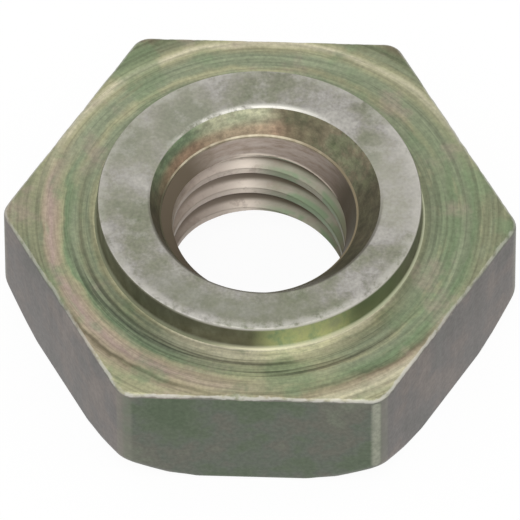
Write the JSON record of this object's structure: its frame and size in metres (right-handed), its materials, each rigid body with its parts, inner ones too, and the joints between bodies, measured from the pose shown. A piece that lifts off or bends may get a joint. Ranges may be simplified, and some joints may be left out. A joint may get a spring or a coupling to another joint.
{
  "type": "hex weld nut",
  "caption": "Hexagonal steel weld nut with a plain turned centring collar on its weld face, a countersunk threaded bore and chamfered corners underneath.",
  "frame": {"origin": "on the thread's axis, in the plane of the underside", "axes": "+Z along the thread, from the underside to the collar; +X through a corner of the hexagon; +Y square to a flat"},
  "size_m": [0.0194, 0.017, 0.0063],
  "materials": {
    "plated_steel": "yellow-passivated zinc plating over turned steel, satin, with green and pink tints and bare worn edges"
  },
  "bodies": {
    "root": {"weld_nut": "plated_steel"}
  },
  "joints": []
}
